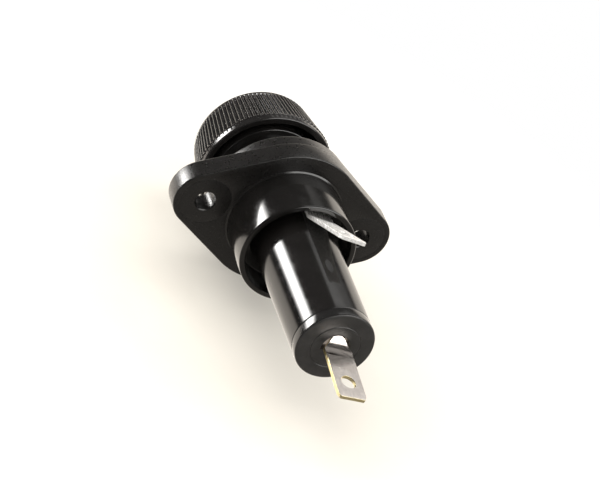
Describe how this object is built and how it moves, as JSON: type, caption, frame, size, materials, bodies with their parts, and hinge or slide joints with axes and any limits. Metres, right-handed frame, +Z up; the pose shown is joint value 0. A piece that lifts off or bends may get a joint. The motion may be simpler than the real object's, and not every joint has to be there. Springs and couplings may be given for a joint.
{
  "type": "cartridge fuse holder",
  "caption": "Panel-mounted cartridge fuse holder with a diamond flange, fluted bayonet knob, round barrel and two quick-connect tabs.",
  "frame": {"origin": "centre of the flange's rear face, midway between the two screw holes, in the plane of the panel", "axes": "+Y along the barrel from the knob towards the terminals, X through the two screw holes, +Z up, towards the side terminal"},
  "size_m": [0.052, 0.0849, 0.0336],
  "materials": {
    "phenolic_black": "glossy black phenolic moulding, satin on the flange",
    "phenolic_grey_black": "grey-black moulding with a satin end face",
    "knob_black": "semi-gloss black moulding",
    "tinned_brass": "bright tin plate over brass, with yellow sheared edges",
    "bare_brass": "bright brass",
    "spring_steel": "drawn wire",
    "zinc_steel": "zinc plated",
    "red_fibre": "vulcanised fibre",
    "fuse_ceramic": "unglazed white ceramic",
    "nickel_cap": "nickel-plated fuse cap"
  },
  "bodies": {
    "housing": {"housing": "phenolic_black", "barrel_end_plug": "phenolic_grey_black", "front_contact_ring": "tinned_brass", "side_terminal": "tinned_brass", "side_terminal_rivet": "bare_brass", "rear_terminal": "tinned_brass", "rear_spring": "spring_steel"},
    "rear_contact": {"rear_plunger": "bare_brass"},
    "carrier": {"carrier_cup": "bare_brass", "carrier_stud": "bare_brass", "stud_washer": "zinc_steel", "fibre_washer": "red_fibre", "knob_spring": "spring_steel", "fuse_tube": "fuse_ceramic", "fuse_cap_front": "nickel_cap", "fuse_cap_rear": "nickel_cap", "fuse_element": "tinned_brass"},
    "pressure_washer": {"thrust_washer": "zinc_steel"},
    "knob": {"knob_cap": "knob_black", "knob_face_disc": "knob_black", "bayonet_sleeve": "phenolic_black"}
  },
  "joints": [
    {"name": "carrier_slide", "type": "slide", "parent": "housing", "child": "carrier", "axis": [0, -1, 0], "range_m": [-0.0063, 0.045]},
    {"name": "knob_press", "type": "slide", "parent": "carrier", "child": "pressure_washer", "axis": [0, 1, 0], "range_m": [0, 0.0015], "stiffness_N_per_m": 1500, "deforming": ["knob_spring"]},
    {"name": "knob_turn", "type": "hinge", "parent": "pressure_washer", "child": "knob", "pos_m": [0, -0.02, 0], "axis": [0, 1, 0], "range_deg": [0, 90]},
    {"name": "rear_plunger_press", "type": "slide", "parent": "housing", "child": "rear_contact", "axis": [0, 1, 0], "range_m": [0, 0.0015], "stiffness_N_per_m": 1500, "deforming": ["rear_spring"]}
  ]
}
